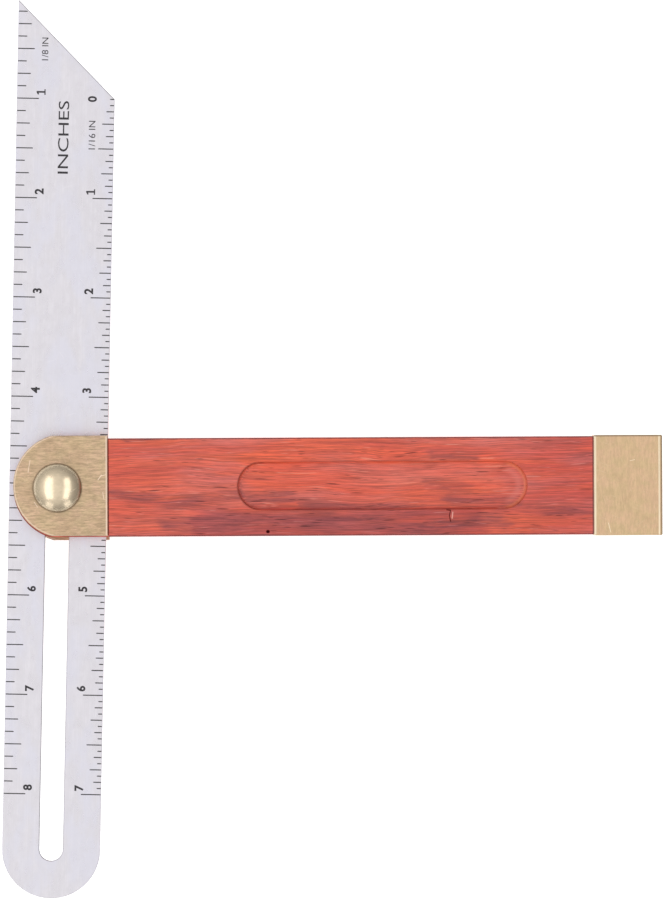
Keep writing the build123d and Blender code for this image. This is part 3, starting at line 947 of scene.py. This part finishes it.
def hardwood(settings):
    """Oiled red hardwood: smoky streaks, a duskier and a brighter band, and painted shade on its edges, round
    its nose and in its joint with the cap.

    The finger groove has painted shade at its start and along its sides, and painted highlights at its end.
    """
    material, tree, shader, vector = new_material("hardwood_oiled")
    face = WOOD_HIGH[2]
    flat_face = face * STREAK_FLATNESS
    wander = vector_sums(tree, "SUBTRACT", noise_vector(tree, vector, (0.07, 0.35, 0.3)), (0.5, 0.5, 0.5))
    bent = vector_sums(tree, "ADD", vector, vector_sums(tree, "MULTIPLY", wander, STREAK_WANDER))
    through = vector_sums(tree, "MULTIPLY", bent, (1.0, 1.0, STREAK_FLATNESS))
    inputs = {
        "Vector": vector, "Heart": (*settings.heart, 1.0), "Flame": (*settings.flame, 1.0),
        "Smoke": (*settings.smoke, 1.0), "Pore": (*settings.pore, 1.0),
        "Smokiness": marks(tree, through, at_height(flat_face, *SMOKE_STREAKS)),
    }
    wood = place_group(tree, "Hardwood", inputs)
    tone = wood["Color"]
    for band, tint in ((DUSK_BAND, DUSK_TINT), (GLOW_BAND, GLOW_TINT)):
        share = smooth(tree, marks(tree, through, at_height(flat_face, band)), 0.0, 0.6, 0.0, 0.9)
        tone = blend(tree, share, tone, tint, mode="MULTIPLY")
    along = add(tree, "ShaderNodeSeparateXYZ", {0: vector}).outputs[0]
    tone = blend(tree, smooth(tree, along, *BUTT_FADE, 0.0, 0.9), tone, BUTT_TINT, mode="MULTIPLY")

    # Painted shade along the stock's rounded edges, in a dark colour that also paints shade round the nose
    open_end = (FAR, WOOD_HIGH[1], WOOD_HIGH[2])
    edge_inputs = {"Vector": vector, "Low": tuple(WOOD_LOW), "High": open_end, "Width": 0.62}
    edge = place_group(tree, "Box edge painted light", edge_inputs)["Edge"]
    shade_and_dirt = scaled(settings.smoke, 0.5)
    tone = blend(tree, smooth(tree, edge, 0.1, 0.75, 0.0, 0.85), tone, shade_and_dirt)

    # Painted shade at the groove's start and along its sides, and painted highlights on its far end
    first, last = GROOVE_START + GROOVE_HALF, GROOVE_END - GROOVE_HALF
    low_line, high_line = GROOVE_ACROSS - GROOVE_HALF, GROOVE_ACROSS + GROOVE_HALF + 0.1
    start, end = (first, GROOVE_ACROSS), (last, GROOVE_ACROSS)
    groove_shade = circle_mark(tree, vector, start, GROOVE_HALF - 0.05, 0.42, side=-1.0)
    end_highlight = circle_mark(tree, vector, end, GROOVE_HALF - 0.6, 0.8, side=1.0)
    sheen = circle_mark(tree, vector, end, GROOVE_HALF - 2.2, 1.6, side=1.0)
    sides = marks(tree, vector, at_height(
        face,
        ((first, low_line), (last - 5.0, low_line), 0.30),
        ((first + 10.0, high_line), (last - 10.0, high_line), 0.26),
    ))
    groove_shade = most(tree, times(tree, groove_shade, 0.75), times(tree, sides, 0.42))
    tone = blend(tree, groove_shade, tone, GROOVE_SHADE_COLOUR)
    # Painted shade along the nose's rounded outline
    nose_shade = circle_mark(tree, vector, (NOSE_CENTRE, 0.0), NOSE_RADIUS, 0.7, side=-1.0)
    # Painted shade in the cap joint, the nick and the pit, and a painted highlight on the nick's lip
    joint, pit, lip = (
        marks(tree, vector, at_height(face, stroke)) for stroke in (CAP_JOINT_SHADE, PIT, NICK_LIP)
    )
    nick = marks(tree, vector, at_height(face, *NICK))
    hole = most(tree, times(tree, nick, 0.5), pit)
    open_hole = smooth(tree, hole, 0.0, 0.6)
    tone = coats(
        tree, tone,
        (sheen, 0.3, SHEEN), (end_highlight, 0.6, GROOVE_END_HIGHLIGHT), (nose_shade, 0.7, shade_and_dirt), (joint, 0.85, settings.pore),
    )
    tone = blend(tree, open_hole, tone, PIT_BLACK)
    tone = coats(tree, tone, (lip, 0.7, NICK_LIP_HIGHLIGHT))
    height = minus(tree, wood["Height"], times(tree, hole, 2.0))
    connect(
        tree, shader, Base_Color=tone, Roughness=wood["Roughness"], Metallic=open_hole,
        Normal=bump(tree, height, 0.035), Coat_Weight=minus(tree, 0.12, hole, clamp=True), Coat_Roughness=0.3,
    )
    return material


# ---------------------------------------------------------------- operators


class TBEVEL_OT_stock(bpy.types.Operator):
    """Finish the hardwood stock"""

    bl_idname = "tbevel.stock"
    bl_label = "Finish the stock"

    def execute(self, context):
        paint_node("wood_stock", hardwood(context.scene.tbevel_stock))
        return {"FINISHED"}


class TBEVEL_OT_brasses(bpy.types.Operator):
    """Finish the bolsters, the butt cap, their fixings and the washer"""

    bl_idname = "tbevel.brasses"
    bl_label = "Finish the brass fittings"

    def execute(self, context):
        brass = context.scene.tbevel_brass
        middle = (BOLSTER_LOW[1] + BOLSTER_HIGH[1]) / 2
        front = brass_sheet(
            "bolster_brass_front", tuple(brass.bolster),
            ((-FAR, BOLSTER_LOW[1], -FAR), (BOLSTER_HIGH[0], BOLSTER_HIGH[1], BRASS_FACE_Z)),
            at_height(BRASS_FACE_Z, *FRONT_SCRATCHES_AND_HIGHLIGHT), at_height(BRASS_FACE_Z, *FRONT_EDGE_SHADE),
            cover=0.75, contrast=0.14, nose=(NOSE_CENTRE, middle),
        )
        middle = (BACK_LOW[1] + BACK_HIGH[1]) / 2
        back = brass_sheet(
            "bolster_brass_back", tuple(brass.bolster),
            ((-FAR, BACK_LOW[1], BACK_LOW[2]), (BACK_HIGH[0], BACK_HIGH[1], FAR)),
            at_height(BACK_LOW[2], *BACK_SCRATCHES), at_height(BACK_LOW[2], *BACK_DIRT),
            cover=0.9, contrast=0.15, nose=(NOSE_CENTRE, middle),
        )
        # Painted shade along the cap's end and upper edge, and dirt round its screws
        cap_shade_and_dirt = at_height(BRASS_FACE_Z, *CAP_EDGE_SHADE)
        for screw in ("cap_screw_1", "cap_screw_2"):
            low, high = box_mm(screw)
            y, z = (low[1] + high[1]) / 2, (low[2] + high[2]) / 2
            radius = (high[1] - low[1]) / 2
            cap_shade_and_dirt.append(((high[0], y, z), (high[0] + 0.01, y, z), SCREW_DIRT_WIDTH, radius))
        cap = brass_sheet(
            "cap_brass", tuple(brass.cap), (CAP_LOW, CAP_HIGH), at_height(BRASS_FACE_Z, *CAP_SCRATCHES_AND_HIGHLIGHTS),
            cap_shade_and_dirt, cover=0.45, contrast=0.055, turn=math.pi / 2,
        )
        plain = turned_brass("turned_brass", tuple(brass.nut), 0.28, 2.0, 0.5)
        for node, material in (("front_bolster", front), ("back_bolster", back), ("butt_cap", cap)):
            paint_node(node, material)
        for node in frame["nodes"]:
            if "pin" in node or "screw" in node or node == "clamp_washer":
                paint_node(node, plain)
        return {"FINISHED"}


def outward(mesh):
    """Merges doubled points and turns every face of a closed mesh outwards."""
    work = bmesh.new()
    work.from_mesh(mesh)
    bmesh.ops.remove_doubles(work, verts=work.verts, dist=WELD_MM * MM)
    bmesh.ops.recalc_face_normals(work, faces=work.faces)
    work.to_mesh(mesh)
    work.free()


def on_blade(across, along, height):
    """Points given across and along the blade, in millimetres from the pivot."""
    across, along, height = (np.asarray(part, dtype=float)[..., None] for part in (across, along, height))
    return across * ACROSS + along * ALONG + height * UPWARD


def tick_lengths(number, lengths):
    """The length of each graduation: one step longer each time its number halves evenly again.

    The graduation at zero stands in the blade's corner and is the shortest.
    """
    halvings = sum((number % 2**power == 0).astype(int) for power in range(1, len(lengths)))
    return np.where(number == 0, lengths[0], np.array(lengths)[halvings])


def scale_bars(zero, side, divisions, first, inches, lengths, width):
    """One edge's graduations: thin bars from the blade's edge inwards, half round at their inner ends.

    Each bar's outline is two square corners at the edge and a half circle of the bar's width at the other
    end, repeated at every division of the inch from number first to the last inch, and raised between the
    mark's bottom and its top.
    """
    number = np.arange(first, inches * divisions + 1)
    count = len(number)
    place = zero - number * (INCH / divisions)
    reach = tick_lengths(number, lengths)
    turn = np.linspace(-math.pi / 2, math.pi / 2, BAR_END_POINTS)
    inner = reach[:, None] - width / 2 + np.cos(turn) * width / 2
    beside = np.broadcast_to(np.sin(turn) * width / 2, inner.shape)
    corner = np.full((count, 1), EDGE_BEVEL)
    half = np.full((count, 1), width / 2)
    inward = np.hstack([corner, inner, corner])
    beside = np.hstack([-half, beside, half])
    across = side * (BLADE_HALF - inward)
    along = place[:, None] + beside
    ring = across.shape[1]
    layers = [on_blade(across, along, np.full(across.shape, BLADE_FACE_Z + lift)) for lift in MARK_HEIGHTS]
    points = np.stack(layers, axis=1).reshape(-1, 3)
    base = (np.arange(count) * 2 * ring)[:, None]
    low, high = base + np.arange(ring), base + ring + np.arange(ring)
    sides = np.stack([low, np.roll(low, -1, axis=1), np.roll(high, -1, axis=1), high], axis=-1)
    faces = low[:, ::-1].tolist() + high.tolist() + sides.reshape(-1, 4).tolist()
    return points, faces


def figure_one():
    """The figure 1 as a raised mesh: one outline with a flag and a foot, at Z 0 and again at Z 1."""
    outline = np.array(FIGURE_ONE)
    count = len(outline)
    points = np.vstack([np.column_stack([outline, np.full(count, level)]) for level in (0.0, 1.0)])
    near = np.arange(count)
    beyond = np.roll(near, -1)
    sides = np.stack([near, beyond, beyond + count, near + count], axis=-1).tolist()
    return points, [near[::-1].tolist(), (near + count).tolist(), *sides]


def letters(text, weight):
    """The outline of a text as a raised mesh, thickened by weight: points with Z 0 or 1, and faces."""
    if text == "1":
        return figure_one()
    curve = bpy.data.curves.new("letters", "FONT")
    curve.body = text
    curve.extrude = 0.5
    curve.offset = weight
    curve.resolution_u = 4
    source = bpy.data.objects.new("letters", curve)
    bpy.context.scene.collection.objects.link(source)
    bpy.context.view_layer.update()
    mesh = bpy.data.meshes.new_from_object(source)
    points = np.empty(len(mesh.vertices) * 3)
    mesh.vertices.foreach_get("co", points)
    faces = [list(face.vertices) for face in mesh.polygons]
    bpy.data.objects.remove(source)
    bpy.data.curves.remove(curve)
    bpy.data.meshes.remove(mesh)
    points = points.reshape(-1, 3)
    points[:, 2] += 0.5
    return points, faces


def set_text(text, across, along, height, length=None):
    """A text read towards the blade's tip, centred on a place, of that height and, if given, that length."""
    points, faces = letters(text, DIGIT_WEIGHT if len(text) == 1 else LEGEND_WEIGHT)
    low, high = points.min(axis=0), points.max(axis=0)
    middle, size = (low + high) / 2, high - low
    grow = height / size[1]
    stretch = length / size[0] if length else grow
    raised = BLADE_FACE_Z + MARK_HEIGHTS[0] + points[:, 2] * (MARK_HEIGHTS[1] - MARK_HEIGHTS[0])
    sideways = across - (points[:, 1] - middle[1]) * grow
    forwards = along + (points[:, 0] - middle[0]) * stretch
    return on_blade(sideways, forwards, raised), faces


def joined(parts):
    """Several lots of points and faces as one."""
    points, faces, start = [], [], 0
    for part_points, part_faces in parts:
        points.append(part_points)
        faces += [[start + int(corner) for corner in face] for face in part_faces]
        start += len(part_points)
    return np.vstack(points), faces


class TBEVEL_OT_blade(bpy.types.Operator):
    """Finish the blade and etch its scales, numerals and unit legends"""

    bl_idname = "tbevel.blade"
    bl_label = "Finish the blade"

    def execute(self, context):
        settings = context.scene.tbevel_blade
        paint_node("blade", blade_steel(tuple(settings.steel)))
        ink = etched_ink(tuple(settings.ink))
        width = settings.line_width / MM
        digit = settings.digit_height / MM
        eighths = scale_bars(
            LEFT_ZERO, side=-1, divisions=8, first=1, inches=8, lengths=EIGHTH_LENGTHS, width=width
        )
        sixteenths = scale_bars(
            RIGHT_ZERO, side=1, divisions=16, first=0, inches=7, lengths=SIXTEENTH_LENGTHS, width=width
        )
        bars = joined([eighths, sixteenths])
        texts = []
        left, right = LEFT_DIGIT_INSET - BLADE_HALF, BLADE_HALF - RIGHT_DIGIT_INSET
        for zero, across, inches in ((LEFT_ZERO, left, range(1, 9)), (RIGHT_ZERO, right, range(0, 8))):
            for inch in inches:
                lead = DIGIT_LEAD if inch else 0.0
                texts.append(set_text(str(inch), across, zero - inch * INCH + lead, digit))
        texts += [set_text(*legend) for legend in LEGENDS]
        for name, (points, faces) in (("blade_graduations", bars), ("blade_numerals", joined(texts))):
            piece = make_piece(name, points, faces, ink, "blade", is_smooth=False)
            outward(piece.data)
        return {"FINISHED"}


def bolt_depth(turn, height):
    """How far the bolt's surface lies inside its round: the flats across the slot, and the thread.

    A flat lies at FLAT_HALF from the axis, so its depth is the journal's radius less FLAT_HALF over the cosine
    of the angle from the flat's middle. The thread is a wave in height over pitch less turns, flattened at
    crest and root, and fades in over one pitch below THREAD_TOP.
    """
    facing = np.abs(np.cos(turn + BLADE_TURN))
    reach = np.minimum(JOURNAL_RADIUS, FLAT_HALF / np.maximum(facing, 0.01))
    flats = np.where((height < FLATS_TOP) & (height > SHANK_TOP), JOURNAL_RADIUS - reach, 0.0)
    phase = (height / THREAD_PITCH - turn / (2 * math.pi)) % 1.0
    groove = np.clip(np.abs(phase - 0.5) * -THREAD_STEEPNESS + THREAD_LIFT, 0.0, 1.0)
    fade = np.clip((THREAD_TOP - height) / THREAD_PITCH, 0.0, 1.0)
    return flats + groove * fade * THREAD_DEPTH


class TBEVEL_OT_bolt(bpy.types.Operator):
    """Turn the pivot bolt: polished dome, flats and a real thread"""

    bl_idname = "tbevel.bolt"
    bl_label = "Turn the pivot bolt"

    def execute(self, context):
        colour = tuple(context.scene.tbevel_brass.bolt)
        top, end = BOLT_HIGH[2], BOLT_LOW[2]
        head = BOLT_HIGH[0]
        rim = BRASS_FACE_Z + HEAD_RIM
        rise = top - rim
        dome_radius = (head**2 + rise**2) / (2 * rise)
        widest = math.degrees(math.asin((head - RIM_ROUND) / dome_radius))
        dome = arc((0.0, top - dome_radius), dome_radius, 90 - 2.0, 90 - widest, DOME_ROWS)
        shoulder = arc((head - RIM_ROUND, rim - RIM_ROUND / 2), RIM_ROUND, 60, -40, SHOULDER_ROWS)
        under = [(head - RIM_ROUND / 2, BRASS_FACE_Z), (JOURNAL_RADIUS, BRASS_FACE_Z)]
        journal_heights = np.linspace(BRASS_FACE_Z - 0.01, SHANK_TOP + 0.01, JOURNAL_ROWS)
        journal = [(JOURNAL_RADIUS, z) for z in journal_heights]
        thread_count = int((SHANK_TOP - end - END_CHAMFER) / THREAD_PITCH * ROWS_PER_PITCH)
        shank = [(SHANK_RADIUS, z) for z in np.linspace(SHANK_TOP, end + END_CHAMFER, thread_count)]
        chamfer = [
            (SHANK_RADIUS - share * END_CHAMFER, end + END_CHAMFER * (1 - share))
            for share in np.linspace(0.2, 1.0, CHAMFER_ROWS)
        ]
        profile = np.vstack([dome, shoulder, under, journal, shank, chamfer, [(END_RADIUS, end)]])
        points, faces = revolve(profile, BOLT_SEGMENTS, bolt_depth)
        last = (len(profile) - 1) * BOLT_SEGMENTS
        ring = np.arange(BOLT_SEGMENTS)
        reach = np.maximum(np.hypot(points[last:, 0], points[last:, 1]), 0.1)
        points[last:, :2] *= END_RADIUS / reach[:, None]
        points, faces = close_end(points, faces, ring, True, top)
        points, faces = close_end(points, faces, ring + last, False, end)
        spots = at_height(0.0, *HEAD_SPOTS)
        brass = turned_brass("polished_brass_turned", colour, 0.20, 1.3, 0.4, rim=head, spots=spots)
        bolt = make_piece("bolt_turned", points, faces, brass, "bolt")
        outward(bolt.data)
        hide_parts("pivot_bolt")
        return {"FINISHED"}


def wing(side):
    """One ear of the nut, before it is blended into the hub.

    Along a straight line from the hub to the ear's tip, the outline is the one that wraps a small root circle
    and a larger tip circle: its half width changes evenly between them and closes as a circle at both ends.
    Across the ear each section is a rounded square whose thickness falls from root to tip.
    """
    root, tip = np.array(WING_ROOT), np.array(WING_TIP)
    span = np.linalg.norm(tip - root)
    direction = (tip - root) / span
    place = np.linspace(-WING_ROOT_ROUND, span + WING_TIP_ROUND, WING_SECTIONS)[1:-1]
    middle = WING_ROOT_ROUND + (WING_TIP_ROUND - WING_ROOT_ROUND) * np.clip(place / span, 0, 1)
    start = np.sqrt(np.maximum(WING_ROOT_ROUND**2 - np.minimum(place, 0.0) ** 2, 0.0))
    finish = np.sqrt(np.maximum(WING_TIP_ROUND**2 - np.maximum(place - span, 0.0) ** 2, 0.0))
    half_width = np.where(place < 0, start, np.where(place > span, finish, middle))
    half_depth = np.interp(place / span, [0.0, 1.0], [WING_ROOT_DEPTH, WING_TIP_DEPTH])
    half_depth = half_depth * np.sqrt(np.clip(half_width / WING_ROOT_ROUND, 0.0, 1.0))
    turn = np.linspace(0, 2 * math.pi, WING_SEGMENTS, endpoint=False)
    cosine, sine = np.cos(turn), np.sin(turn)
    in_plane = half_width[:, None] * np.sign(cosine) * np.abs(cosine) ** WING_SQUARENESS
    through = half_depth[:, None] * np.sign(sine) * np.abs(sine) ** WING_SQUARENESS
    radial = root[0] + direction[0] * place[:, None] - direction[1] * in_plane
    height = root[1] + direction[1] * place[:, None] + direction[0] * in_plane
    points = np.stack([through, side * radial, NUT_HIGH[2] - height], axis=-1).reshape(-1, 3)
    faces = grid_faces(len(place), len(turn), wrap_columns=True).tolist()
    ring = np.arange(len(turn))
    for row, end in ((0, -WING_ROOT_ROUND), (len(place) - 1, span + WING_TIP_ROUND)):
        centre = root + direction * end
        points = np.vstack([points, [[0.0, side * centre[0], NUT_HIGH[2] - centre[1]]]])
        loop = ring + row * len(turn)
        faces += [[int(a), int(b), len(points) - 1] for a, b in zip(loop, np.roll(loop, -1))]
    return points, faces


def hub():
    """The nut's hub: a ring whose closed profile tapers outside, is straight inside and has eased corners."""
    outer = [
        (HUB_BASE - 0.35, 0.0), (HUB_BASE, 0.35), (HUB_BASE - 0.08, 0.8),
        (HUB_TOP + 0.15, HUB_HEIGHT - 0.8), (HUB_TOP - 0.3, HUB_HEIGHT - 0.15), (HUB_TOP - 0.7, HUB_HEIGHT),
    ]
    inner = [
        (HOLE_RADIUS + 0.35, HUB_HEIGHT), (HOLE_RADIUS, HUB_HEIGHT - 0.35),
        (HOLE_RADIUS, 0.3), (HOLE_RADIUS + 0.3, 0.0),
    ]
    profile = [(radius, NUT_HIGH[2] - height) for radius, height in outer + inner]
    points, _ = revolve(profile, HUB_SEGMENTS)
    return points, grid_faces(len(profile), HUB_SEGMENTS, wrap_rows=True, wrap_columns=True).tolist()


def finish_modifier(piece, name, kind, **settings):
    """Adds a modifier and works its result into the piece's mesh."""
    modifier = piece.modifiers.new(name, kind)
    for key, value in settings.items():
        setattr(modifier, key, value)
    graph = bpy.context.evaluated_depsgraph_get()
    mesh = bpy.data.meshes.new_from_object(piece.evaluated_get(graph))
    piece.modifiers.clear()
    piece.data = mesh


class TBEVEL_OT_wing_nut(bpy.types.Operator):
    """Cast the wing nut: hub and ears blended into one smooth casting"""

    bl_idname = "tbevel.wing_nut"
    bl_label = "Cast the wing nut"

    def execute(self, context):
        colour = tuple(context.scene.tbevel_brass.nut)
        points, faces = joined([hub(), wing(1), wing(-1)])
        brass = turned_brass("cast_brass_tumbled", colour, 0.30, 1.6, 0.6)
        nut = make_piece("wing_nut_cast", points, faces, brass, "nut")
        outward(nut.data)
        finish_modifier(nut, "blend", "REMESH", mode="VOXEL", voxel_size=NUT_VOXEL * MM)
        finish_modifier(nut, "ease", "SMOOTH", factor=0.5, iterations=EASE_ROUNDS)
        nut.data.polygons.foreach_set("use_smooth", [True] * len(nut.data.polygons))
        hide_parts("wing_nut")
        return {"FINISHED"}


def soft_box(name, place, size, brightness):
    """A soft area light in metres from the pivot, facing it, of that radiance."""
    data = bpy.data.lights.new(name, "AREA")
    data.shape = "RECTANGLE"
    data.size, data.size_y = size
    data.energy = brightness * math.pi * size[0] * size[1]
    light = bpy.data.objects.new(name, data)
    bpy.context.scene.collection.objects.link(light)
    light.location = Vector(PIVOT) + Vector(place)
    light.rotation_euler = (-Vector(place)).to_track_quat("-Z", "Y").to_euler()
    light.visible_camera = False


class TBEVEL_OT_stage(bpy.types.Operator):
    """Lay the floor and set the lights and the camera"""

    bl_idname = "tbevel.stage"
    bl_label = "Set the stage"

    def execute(self, context):
        settings = context.scene.tbevel_stage
        self.lay_floor(tuple(settings.floor))
        self.light_sky(context.scene, settings.sky)
        for box in SOFT_BOXES:
            soft_box(*box)
        self.place_camera(context.scene, settings.lens)
        return {"FINISHED"}

    def lay_floor(self, colour):
        """A level grid under the object, very slightly uneven in tone and matt."""
        line = np.linspace(-FLOOR_HALF, FLOOR_HALF, FLOOR_LINES)
        x, y = np.meshgrid(line, line, indexing="ij")
        points = np.stack([x, y, np.zeros_like(x)], axis=-1).reshape(-1, 3)
        mesh = bpy.data.meshes.new("floor")
        mesh.from_pydata(points.tolist(), [], grid_faces(FLOOR_LINES, FLOOR_LINES)[:, ::-1].tolist())
        floor = bpy.data.objects.new("floor", mesh)
        bpy.context.scene.collection.objects.link(floor)
        material, tree, shader, vector = new_material("floor_paper")
        tooth = noise(tree, vector, (0.05, 0.05, 0.05), detail=5.0)
        tone = blend(tree, tooth, scaled(colour, 0.99), scaled(colour, 1.01))
        connect(
            tree, shader, Base_Color=tone, Roughness=0.9,
            Emission_Color=WHITE[:3], Emission_Strength=FLOOR_GLOW,
        )
        mesh.materials.append(material)
        mesh.update()

    def light_sky(self, scene, strength):
        """Soft light all round, dimmer towards the horizon and the right, and a white backdrop."""
        world = bpy.data.worlds.new("studio")
        world.use_nodes = True
        scene.world = world
        tree = world.node_tree
        tree.nodes.clear()
        direction = add(tree, "ShaderNodeTexCoord").outputs["Generated"]
        parts = add(tree, "ShaderNodeSeparateXYZ", {0: direction}).outputs
        level = smooth(tree, parts[2], 0.0, 1.0, HORIZON_SHARE, 1.0)
        lean = minus(tree, 1.0, times(tree, parts[0], SKY_LEAN))
        level = times(tree, level, lean)
        inputs = {"Strength": times(tree, level, strength), "Color": SKY_COLOUR}
        soft = add(tree, "ShaderNodeBackground", inputs)
        backdrop = add(tree, "ShaderNodeBackground", {"Strength": 1.0, "Color": WHITE})
        seen = add(tree, "ShaderNodeLightPath").outputs["Is Camera Ray"]
        mix = add(tree, "ShaderNodeMixShader", {0: seen, 1: soft.outputs[0], 2: backdrop.outputs[0]})
        output = tree.nodes.new("ShaderNodeOutputWorld")
        tree.links.new(mix.outputs[0], output.inputs[0])

    def place_camera(self, scene, lens):
        """A long lens straight above, turned by CAMERA_ROLL, framing FRAME_HEIGHT at the blade's level."""
        data = bpy.data.cameras.new("camera")
        data.lens = lens
        data.sensor_width = SENSOR
        data.clip_end = 100.0
        camera = bpy.data.objects.new("camera", data)
        scene.collection.objects.link(camera)
        roll = Matrix.Rotation(CAMERA_ROLL, 3, "Z")
        centre = Vector(PIVOT) + roll @ Vector((*FRAME_CENTRE, 0.0)) * MM
        camera.location = centre + Vector((0.0, 0.0, lens / SENSOR * FRAME_HEIGHT * MM))
        camera.rotation_euler = (0.0, 0.0, CAMERA_ROLL)
        scene.camera = camera
        scene.view_settings.view_transform = "Standard"


class TBEVEL_PT_panel(bpy.types.Panel):
    """The steps that build the tool, in order"""

    bl_idname = "TBEVEL_PT_panel"
    bl_label = "Sliding T-bevel"
    bl_space_type = "VIEW_3D"
    bl_region_type = "UI"
    bl_category = "T-Bevel"

    def draw(self, context):
        for operator in STEPS:
            self.layout.operator(operator.bl_idname)
        for name in SETTINGS:
            box = self.layout.box()
            group = getattr(context.scene, name)
            for setting in group.bl_rna.properties.keys():
                if setting not in ("rna_type", "name"):
                    box.prop(group, setting)


STEPS = (
    TBEVEL_OT_stock, TBEVEL_OT_brasses, TBEVEL_OT_blade, TBEVEL_OT_bolt, TBEVEL_OT_wing_nut, TBEVEL_OT_stage,
)
SETTINGS = {
    "tbevel_blade": BladeSettings,
    "tbevel_stock": StockSettings,
    "tbevel_brass": BrassSettings,
    "tbevel_stage": StageSettings,
}


def register():
    """Registers the settings, the operators and the panel."""
    for kind in (*SETTINGS.values(), *STEPS, TBEVEL_PT_panel):
        bpy.utils.register_class(kind)
    for name, kind in SETTINGS.items():
        setattr(bpy.types.Scene, name, bpy.props.PointerProperty(type=kind))


def unregister():
    """Takes them away again."""
    for name in SETTINGS:
        delattr(bpy.types.Scene, name)
    for kind in (TBEVEL_PT_panel, *reversed(STEPS), *reversed(SETTINGS.values())):
        bpy.utils.unregister_class(kind)


def main():
    register()
    for make_group in (make_brushing_group, make_tarnish_group, make_hairline_group, make_stroke_group,
                       make_box_edge_group, make_ring_group, make_wood_group):
        make_group()
    bpy.ops.tbevel.stock()
    bpy.ops.tbevel.brasses()
    bpy.ops.tbevel.blade()
    bpy.ops.tbevel.bolt()
    bpy.ops.tbevel.wing_nut()
    bpy.ops.tbevel.stage()


if __name__ == "__main__":
    main()
